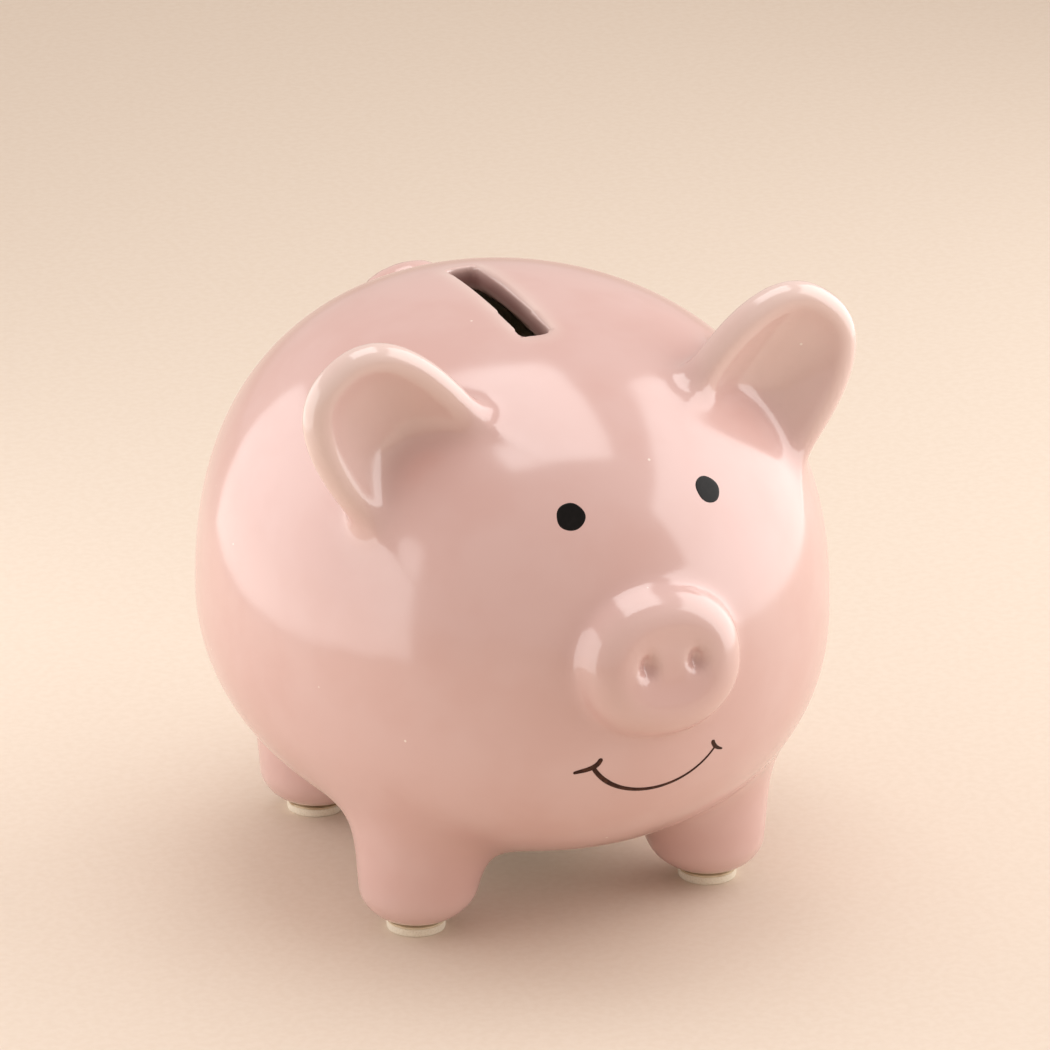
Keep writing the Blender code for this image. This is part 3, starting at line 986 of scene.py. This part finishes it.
@dataclass
class GlazedSkin:
    """The whole casting as one seamless skin, with how thin its glaze is, where it gathers or is wiped, and
    where light and shade are painted on it.
    """

    form: PigForm
    finish: PinkGlaze = field(default_factory=PinkGlaze)
    coarse: float = 1.16
    fine: float = 0.85

    def axes(self) -> tuple[np.ndarray, np.ndarray, np.ndarray]:
        """Grid places along X, Y and Z: closer together at the slot, the ears, the snout and the feet."""
        across = graded(-56, 56, self.coarse, self.fine, [(-7, 3)])
        along = graded(-68, 66, self.coarse, self.fine, [(-65, -58), (-30, -16)])
        upright = graded(-1, 112, self.coarse, self.fine, [(1, 4), (97, 109)])
        return across, along, upright

    def glaze(self, points: Points) -> dict[str, np.ndarray]:
        """How thin the glaze is, where it gathers and where clay is bare at each point, each from 0 to 1.

        It draws thin where the form bulges more than an egg does, least on the tail where the coat is thick,
        and round the slot's lip; the ears' cups are paled the same way as painted light. It gathers in
        hollows, and the slot's inside is darkened as painted shade. Clay is bare on the drained inside, under
        the feet and on the plug's seat.

        Args:
            points: Points of the skin.

        Returns:
            The values of the three attributes.
        """
        form, height = self.form, points[:, 2]
        depth, from_slot = form.outside(points), form.ways.slot(points)
        in_slot = from_slot < 0.8
        bulge = smooth_step(0.14, 0.58, bend(form.distance, points, 0.5))
        tail = 1 - 0.75 * smooth_step(46.0, 50.0, points[:, 1])
        lip = smooth_step(1.5, 0.5, from_slot) * smooth_step(-1.1, -0.3, depth)
        # Paler glaze in the ears' cups is painted light.
        cup = form.ears.cup(points) * smooth_step(0.8, 3.0, form.trunk(points))
        hollow = smooth_step(-0.03, -0.40, bend(form.outside, points, 1.6))
        # Deep pink inside the slot is painted shade.
        slot_pool_and_shade = np.where(in_slot, smooth_step(-0.3, -2.0, depth), 0.0)
        inside = np.where(in_slot, 0.0, smooth_step(-0.9, -1.6, depth))
        under = smooth_step(2.6, 2.0, height)
        around_hole = np.hypot(points[:, 0], points[:, 1] - form.ways.hole_middle)
        seat = smooth_step(19.4, 18.8, around_hole) * smooth_step(30.0, 26.0, height)
        return {
            "glaze_thin_and_cup_light": np.maximum.reduce([0.8 * bulge * tail, lip, 0.36 * cup]),
            "glaze_pool_and_slot_shade": np.maximum(0.18 * hollow, slot_pool_and_shade),
            "bare_clay": np.maximum.reduce([inside, under, seat]),
        }

    def build(self) -> bpy.types.Object:
        """Meshes the casting, shades it by its exact normals and writes the glaze's attributes, painted light
        and shade among them.

        Returns:
            The skin.
        """
        points, quads = LevelSkin(self.axes()).mesh(self.form.distance)
        piece = make_piece("glazed_pig", points, quads, self.finish.material())
        piece.data.normals_split_custom_set_from_vertices(gradient(self.form.distance, points).tolist())
        for name, value in self.glaze(points).items():
            attribute = piece.data.attributes.new(name, "FLOAT", "POINT")
            attribute.data.foreach_set("value", evened(value, quads).astype(np.float32))
        nodes = ("body_shell", "ear_left", "ear_right", "snout", "tail")
        return hand_over(piece, Rides.BANK, "pink_glaze", *nodes)


@dataclass
class Face:
    """The painted face: two round eyes and a smile of three brush strokes, laid on the glaze."""

    form: PigForm
    black: FiredColour = FiredColour("fired_black_enamel", "080707", "131010")
    brown: FiredColour = FiredColour("fired_brown_black_line", "35180E", "54301F", 0.25)
    eye_radius: float = 2.45
    eye_places: tuple[tuple[str, float, float], ...] = (("left", 14.2, 81.6), ("right", -10.9, 81.2))
    raised: float = 0.07
    eye_rim: float = 0.015
    stroke_rim: float = 0.02
    buried: float = 0.25

    def eye(self, name: str, side: float, up: float) -> bpy.types.Object:
        """Makes one eye: a lens whose top stands 0.07 mm proud and falls off with the fourth power outwards.

        Its outline is a circle that swells and dips by 2 % as a hand-laid dot does.

        Args:
            name: Which eye it is.
            side: Its place across, as X.
            up: Its height, as Z.

        Returns:
            The eye.
        """
        around, rows = 72, 10
        angle = 2 * np.pi * np.arange(around) / around
        centre = self.form.front_point(np.array([side]), np.array([up]), 0.0)
        normal = gradient(self.form.outside, centre)[0]
        right = np.cross([0.0, 0.0, 1.0], normal)
        right /= np.linalg.norm(right)
        above = np.cross(normal, right)
        wobble = 1 + 0.02 * np.sin(3 * angle + side) + 0.012 * np.sin(5 * angle + 1.3)
        top = np.linspace(0.93, 0.08, rows)
        share = np.concatenate([np.linspace(1 / rows, 1, rows), [0.97], top])
        lens = self.eye_rim + self.raised * (1 - top**4)
        grow = np.concatenate([np.full(rows, -self.buried), [0.0], lens])
        reach = self.eye_radius * share[:, None, None] * wobble[None, :, None]
        flat = centre + reach * (np.cos(angle)[:, None] * right + np.sin(angle)[:, None] * above)
        flat = np.concatenate([centre, flat.reshape(-1, 3), centre])
        growth = np.concatenate([[-self.buried], np.repeat(grow, around), [self.eye_rim + self.raised]])
        points = self.form.front_point(flat[:, 0], flat[:, 2], growth)
        faces = closed_rows(len(share), around)
        piece = make_piece(f"painted_eye_{name}", points, faces, self.black.material())
        return hand_over(piece, Rides.BANK, "fired_black", f"eye_{name}")

    def stroke(self, name: str, path: Points, widths: np.ndarray) -> bpy.types.Object:
        """Makes one brush stroke on the front view.

        A smooth curve runs through the path's places. Each cross row is a flat oval: its places across are
        the cosine of an angle, and its height is the sine where that is above the glaze.

        Args:
            name: The stroke's name.
            path: Places across and up, in the front view.
            widths: The stroke's width at each of them.

        Returns:
            The stroke.
        """
        count, around = 120, 16
        knots = np.concatenate([[0], np.cumsum(np.linalg.norm(np.diff(path, axis=0), axis=1))])
        run = np.linspace(0, knots[-1], count)
        order = min(len(path) - 1, 4)
        line = np.stack([np.polyval(np.polyfit(knots, path[:, k], order), run) for k in (0, 1)], axis=1)
        width = np.interp(run, knots, widths)
        tip = np.minimum(run, knots[-1] - run)[1:-1]
        width = width[1:-1]
        past_tip = 1 - np.minimum(tip / (0.5 * width), 1)
        width = width * np.sqrt(np.clip(1 - past_tip**2, 0.01, 1))
        heading = np.gradient(line, axis=0)
        heading /= np.linalg.norm(heading, axis=1, keepdims=True)
        across = np.stack([-heading[:, 1], heading[:, 0]], axis=1)[1:-1]
        angle = 2 * np.pi * np.arange(around) / around
        spots = line[1:-1, None, :] + 0.5 * (width[:, None] * np.cos(angle))[..., None] * across[:, None, :]
        spots = np.concatenate([line[:1], spots.reshape(-1, 2), line[-1:]])
        lift = self.stroke_rim + np.where(np.sin(angle) > 0, self.raised, self.buried) * np.sin(angle)
        grow = np.concatenate([[0.0], np.tile(lift, count - 2), [0.0]])
        points = self.form.front_point(spots[:, 0], spots[:, 1], grow)
        piece = make_piece(name, points, closed_rows(count - 2, around), self.brown.material())
        return hand_over(piece, Rides.BANK, "fired_brown_line", "smile")

    def build(self) -> list[bpy.types.Object]:
        """Makes both eyes and the three strokes of the smile: thick at the pig's right, thin at its left."""
        pieces = [self.eye(*place) for place in self.eye_places]
        level = self.form.body.middle[2]
        line = np.array(
            [(-10.9, -7.9), (-8.4, -10.8), (-4.4, -12.9), (0.6, -13.4), (5.2, -12.3), (8.6, -10.2), (11.0, -7.6)]
        )
        right = np.array([(-14.0, -8.8), (-12.3, -8.3), (-10.7, -7.6), (-9.8, -6.1)])
        left = np.array([(10.3, -6.3), (10.8, -7.5), (11.6, -8.2), (12.5, -8.6)])
        strokes = (
            ("smile_line", line, np.array([0.75, 0.85, 0.72, 0.62, 0.5, 0.42, 0.38])),
            ("smile_corner_right", right, np.array([0.55, 0.85, 0.95, 0.75])),
            ("smile_corner_left", left, np.array([0.75, 0.75, 0.6, 0.35])),
        )
        for name, path, widths in strokes:
            pieces.append(self.stroke(name, path + (0.0, level), widths))
        return pieces


@dataclass
class FootPads:
    """The four stick-on pads: a foam disc with a soft edge and the milky film that holds it."""

    foam: CreamFoam = field(default_factory=CreamFoam)
    film: AdhesiveFilm = field(default_factory=AdhesiveFilm)
    radius: float = 5.0
    top: float = 1.38
    film_radius: float = 4.9
    film_top: float = 1.72
    around: int = 96

    def build(self) -> list[bpy.types.Object]:
        """Makes each foot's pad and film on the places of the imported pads."""
        foam, film = self.foam.material(), self.film.material()
        pieces = []
        for foot in ("front_left", "front_right", "rear_left", "rear_right"):
            low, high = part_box(f"foot_pad_{foot}")
            centre = ((low.x + high.x) / 2 / MM, (low.y + high.y) / 2 / MM)
            side, top = self.radius, self.top
            pad = softened(
                [(0, 0, 0), (side - 0.1, 0, 0.25), (side, top / 2, 0.3), (side - 0.1, top, 0.2), (0, top, 0)]
            )
            leaf = softened(
                [
                    (0, self.top + 0.02, 0),
                    (self.film_radius, self.top + 0.02, 0.05),
                    (self.film_radius, self.film_top, 0.05),
                    (0, self.film_top, 0),
                ],
                3,
            )
            for name, node, profile, material, slot in (
                (f"foam_pad_{foot}", f"foot_pad_{foot}", pad, foam, "cream_foam"),
                (f"pad_adhesive_{foot}", f"pad_film_{foot}", leaf, film, "adhesive_film"),
            ):
                piece = make_piece(name, *turned(profile, centre, self.around), material)
                pieces.append(hand_over(piece, Rides.BANK, slot, node))
        return pieces


@dataclass
class BellyPlug:
    """The soft plug: a flange with a bead, a neck, a lip above the wall, and a pocket with a pull bar."""

    finish: SoftVinyl = field(default_factory=SoftVinyl)
    seat_height: float = 11.8
    gap: float = 0.25
    flange_radius: float = 18.0
    flange_bottom: float = 9.9
    neck_radius: float = 14.1
    lip_radius: float = 14.7
    lip_bottom: float = 15.3
    top: float = 18.6
    pocket_radius: float = 11.5
    pocket_top: float = 15.6
    bar_half_width: float = 1.6
    bar_half_thickness: float = 1.35
    around: int = 128

    def build(self) -> list[bpy.types.Object]:
        """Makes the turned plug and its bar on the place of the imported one."""
        low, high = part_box("stopper")
        centre = ((low.x + high.x) / 2 / MM, (low.y + high.y) / 2 / MM)
        upper = self.seat_height - self.gap
        profile = softened(
            [
                (0, self.pocket_top, 0),
                (self.pocket_radius - 0.5, self.pocket_top, 1.0),
                (self.pocket_radius + 0.4, self.flange_bottom + 0.5, 0.45),
                (self.pocket_radius + 1.0, self.flange_bottom, 0.3),
                (self.pocket_radius + 2.4, self.flange_bottom, 0.3),
                (self.pocket_radius + 2.9, self.flange_bottom + 0.35, 0.2),
                (self.flange_radius - 0.9, self.flange_bottom + 0.45, 0.3),
                (self.flange_radius, upper - 0.6, 0.5),
                (self.flange_radius - 0.5, upper, 0.3),
                (self.neck_radius, upper, 0.4),
                (self.neck_radius, self.lip_bottom, 0.2),
                (self.lip_radius, self.lip_bottom + 0.4, 0.2),
                (self.lip_radius, self.lip_bottom + 1.4, 0.5),
                (self.lip_radius - 1.5, self.top, 0.6),
                (0, self.top, 0),
            ],
            5,
        )
        material = self.finish.material()
        plug = make_piece("belly_plug", *turned(profile, centre, self.around), material)
        bar = make_piece("plug_pull_bar", *self.bar(centre), material)
        return [hand_over(piece, Rides.PLUG, "soft_plug", "stopper") for piece in (plug, bar)]

    def bar(self, centre: tuple[float, float]) -> tuple[Points, np.ndarray]:
        """The pull bar: a superellipse section of power 4 carried across the pocket, waisted in the middle.

        Args:
            centre: The plug's axis.

        Returns:
            The points and the triangles.
        """
        rows, around = 33, 32
        along = np.linspace(-1, 1, rows)
        angle = 2 * np.pi * np.arange(around) / around
        waist = 0.82 + 0.18 * along**2
        side = np.sign(np.cos(angle)) * np.abs(np.cos(angle)) ** 0.5
        height = np.sign(np.sin(angle)) * np.abs(np.sin(angle)) ** 0.5
        middle = self.flange_bottom + 0.3 + self.bar_half_thickness
        reach = self.pocket_radius + 0.9
        points = np.stack(
            [
                centre[0] + reach * along[:, None] + 0 * angle,
                centre[1] + self.bar_half_width * waist[:, None] * side,
                middle + self.bar_half_thickness * height + 0 * along[:, None],
            ],
            axis=-1,
        ).reshape(-1, 3)
        ends = [np.array([[centre[0] + reach * end, centre[1], middle]]) for end in (-1, 1)]
        return np.concatenate([ends[0], points, ends[1]]), closed_rows(rows, around)


# ---------------------------------------------------------------- floor, light and camera


@dataclass(frozen=True)
class SoftLight:
    """A flat soft light: its middle, the point that it faces, its sides, and its face's radiance."""

    name: str
    place: tuple[float, float, float]
    aim: tuple[float, float, float]
    size: tuple[float, float]
    radiance: float

    def hang(self) -> None:
        """Hangs the light. Its power is its radiance times its area times pi."""
        light = bpy.data.lights.new(self.name, "AREA")
        light.shape = "RECTANGLE"
        light.size, light.size_y = (side * MM for side in self.size)
        light.energy = self.radiance * light.size * light.size_y * np.pi
        lamp = bpy.data.objects.new(self.name, light)
        lamp.location = np.array(self.place) * MM
        way = Vector(np.array(self.aim) - np.array(self.place))
        lamp.rotation_euler = way.to_track_quat("-Z", "Y").to_euler()
        lamp.visible_camera = False
        bpy.context.scene.collection.objects.link(lamp)


@dataclass(frozen=True)
class Studio:
    """A pale table under two soft boxes and an overhead panel, and the camera in front of the pig's right."""

    azimuth: float = -23.5
    elevation: float = 21.5
    distance: float = 1370.6
    lens: float = 277.8
    aim_right: float = 1.71
    aim_up: float = 11.4
    floor_colours: tuple[str, str] = ("E4D7C8", "E1D3C3")
    floor_reach: float = 3000.0
    floor_panes: int = 40
    soft_lights: tuple[SoftLight, ...] = (
        SoftLight("soft_box_left", (-200, 75, 105), (0, -10, 105), (400, 200), 1.3),
        SoftLight("soft_box_right", (400, -110, 330), (0, -110, 330), (720, 660), 1.75),
        SoftLight("overhead_panel", (40, 130, 800), (40, 130, 0), (460, 620), 2.1),
    )
    room_colour: str = "FFEEE2"
    room_strength: float = 0.64

    def floor(self) -> bpy.types.Object:
        """Lays the table top: one wide flat sheet of pale card in square panes.

        Returns:
            The floor.
        """
        row = self.floor_panes + 1
        places = np.linspace(-self.floor_reach, self.floor_reach, row)
        grid = np.stack(np.meshgrid(places, places, indexing="ij"), axis=-1).reshape(-1, 2)
        points = np.concatenate([grid, np.zeros((len(grid), 1))], axis=1)
        pane = np.arange(self.floor_panes)
        corner = (pane[:, None] * row + pane).reshape(-1)
        quads = np.stack([corner, corner + row, corner + row + 1, corner + 1], axis=1)
        material, tree, shader, spot = new_material("pale_card")
        _, colour = mottled(tree, spot, 1.5, 3.0, (0.3, 0.7), self.floor_colours)
        fill_inputs(tree, shader, {"Base Color": colour, "Roughness": 0.75})
        floor = make_piece("studio_floor", points, quads, material)
        return floor

    def lights(self) -> None:
        """Hangs the soft lights and lets in warm room light."""
        for light in self.soft_lights:
            light.hang()
        world = bpy.data.worlds.new("room")
        world.use_nodes = True
        values = {"Color": self.room_colour, "Strength": self.room_strength}
        fill_inputs(world.node_tree, world.node_tree.nodes["Background"], values)
        bpy.context.scene.world = world

    def camera(self) -> None:
        """Stands the camera off along its azimuth and elevation, aimed a little above the body's middle."""
        turn, rise = np.radians(self.azimuth), np.radians(self.elevation)
        back = np.array([np.sin(turn) * np.cos(rise), -np.cos(turn) * np.cos(rise), np.sin(rise)])
        right = np.array([np.cos(turn), np.sin(turn), 0.0])
        up = np.cross(back, right)
        aim = np.array(BodyForm().middle) + self.aim_right * right + self.aim_up * up
        camera = bpy.data.cameras.new("camera")
        camera.lens, camera.sensor_width = self.lens, 36.0
        camera.clip_start, camera.clip_end = 0.05, 50.0
        holder = bpy.data.objects.new("camera", camera)
        holder.location = (aim + self.distance * back) * MM
        holder.rotation_euler = Vector(back).to_track_quat("Z", "Y").to_euler()
        bpy.context.scene.collection.objects.link(holder)
        bpy.context.scene.camera = holder

    def build(self) -> None:
        """Sets up floor, lights, camera and a plain view of the colours."""
        self.floor()
        self.lights()
        self.camera()
        bpy.context.scene.view_settings.view_transform = "Standard"


def main() -> None:
    """Builds the bank piece by piece, then the studio."""
    logging.basicConfig(level=logging.INFO, format="%(name)s: %(message)s")
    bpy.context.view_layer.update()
    form = PigForm()
    skin = GlazedSkin(form).build()
    LOG.info("%s: %d points, %d faces", skin.name, len(skin.data.vertices), len(skin.data.polygons))
    for piece in Face(form).build() + FootPads().build() + BellyPlug().build():
        LOG.info("%s: %d faces", piece.name, len(piece.data.polygons))
    Studio().build()


if __name__ == "__main__":
    main()
